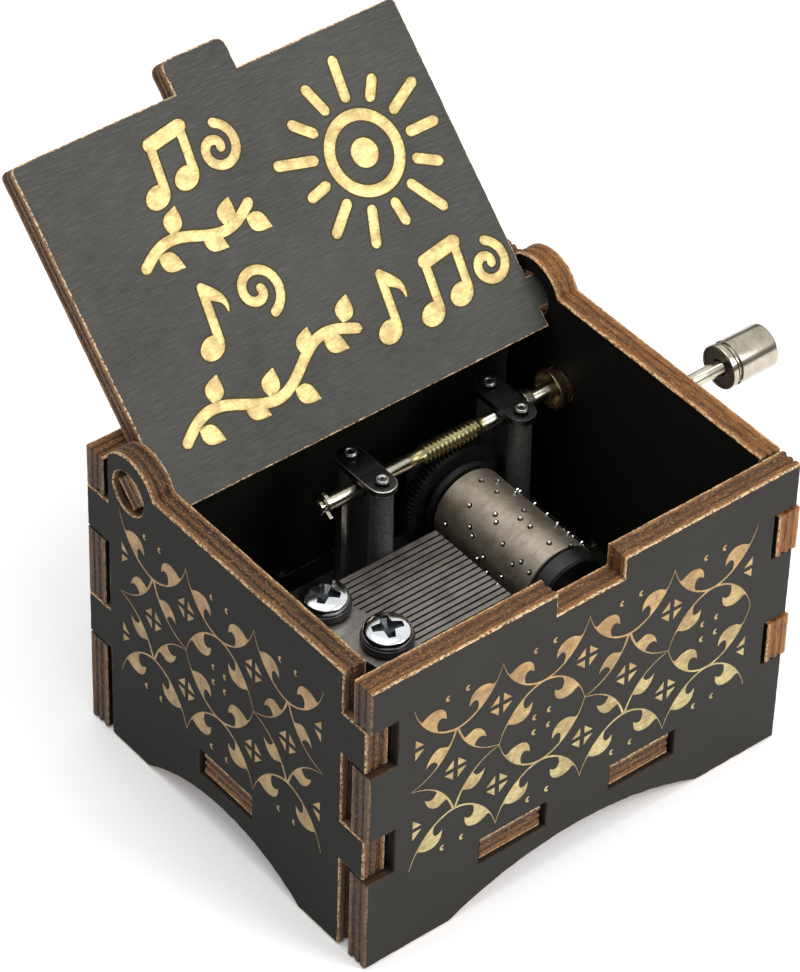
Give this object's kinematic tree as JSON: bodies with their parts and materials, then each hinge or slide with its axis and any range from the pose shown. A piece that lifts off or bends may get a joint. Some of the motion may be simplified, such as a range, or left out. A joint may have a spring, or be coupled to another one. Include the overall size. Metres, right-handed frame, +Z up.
{
  "type": "hand-cranked music box",
  "caption": "Small finger-jointed plywood music box with an arched foot, a lid on wooden pins held open, a pinned drum and comb movement and a bent side crank with a metal knob.",
  "frame": {"origin": "centre of the assembly's footprint on the surface it stands on, with the lid open and the crank as stored", "axes": "+X along the front panel towards the crank, +Y from the front panel to the back panel, +Z up"},
  "size_m": [0.0852, 0.0784, 0.0738],
  "materials": {
    "painted_ply": "black painted plywood with burnt brown laser-cut edges and gold engraving",
    "cast_zinc": "grey die-cast zinc",
    "dark_steel": "dark phosphated steel",
    "nickel": "bright nickel plate",
    "satin_nickel": "satin nickel plate",
    "comb_steel": "ground spring steel",
    "chrome": "bright zinc-plated screws",
    "brass": "plain brass",
    "black_plastic": "black moulded plastic"
  },
  "bodies": {
    "case": {"front_panel": "painted_ply", "back_panel": "painted_ply", "left_panel": "painted_ply", "right_panel": "painted_ply", "bottom_panel": "painted_ply", "bedplate": "cast_zinc", "shaft_strap_left": "dark_steel", "shaft_strap_right": "dark_steel", "strap_rivet_1": "dark_steel", "strap_rivet_2": "dark_steel", "strap_rivet_3": "dark_steel", "strap_rivet_4": "dark_steel", "wall_eyelet": "brass", "comb": "comb_steel", "comb_screw_1": "chrome", "comb_screw_2": "chrome", "comb_washer_1": "dark_steel", "comb_washer_2": "dark_steel", "base_screw_1": "chrome", "base_screw_2": "chrome", "base_screw_3": "chrome"},
    "lid": {"lid": "painted_ply"},
    "crank": {"crank_shaft": "nickel", "shaft_clip": "nickel", "shaft_collar": "nickel"},
    "knob": {"crank_knob": "nickel", "knob_bushing": "nickel"},
    "drum": {"drum_barrel": "satin_nickel", "drum_gear": "black_plastic", "drum_end_cap": "black_plastic", "drum_arbor": "nickel"}
  },
  "joints": [
    {"name": "lid_hinge", "type": "hinge", "parent": "case", "child": "lid", "pos_m": [-0.0106, 0.00655, 0.0419], "axis": [1, 0, 0], "range_deg": [0, 134.2]},
    {"name": "crank_turn", "type": "hinge", "parent": "case", "child": "crank", "pos_m": [0.0254, 0.00045, 0.03135], "axis": [1, 0, 0], "continuous": true},
    {"name": "knob_spin", "type": "hinge", "parent": "crank", "child": "knob", "pos_m": [0.0384, -0.01007, 0.03264], "axis": [1, 0, 0], "continuous": true},
    {"name": "drum_spin", "type": "hinge", "parent": "case", "child": "drum", "pos_m": [0.0016, -0.01205, 0.0229], "axis": [0, 1, 0], "continuous": true}
  ],
  "couplings": [
    {"joint": "drum_spin", "follows": "crank_turn", "ratio": -0.014286}
  ]
}
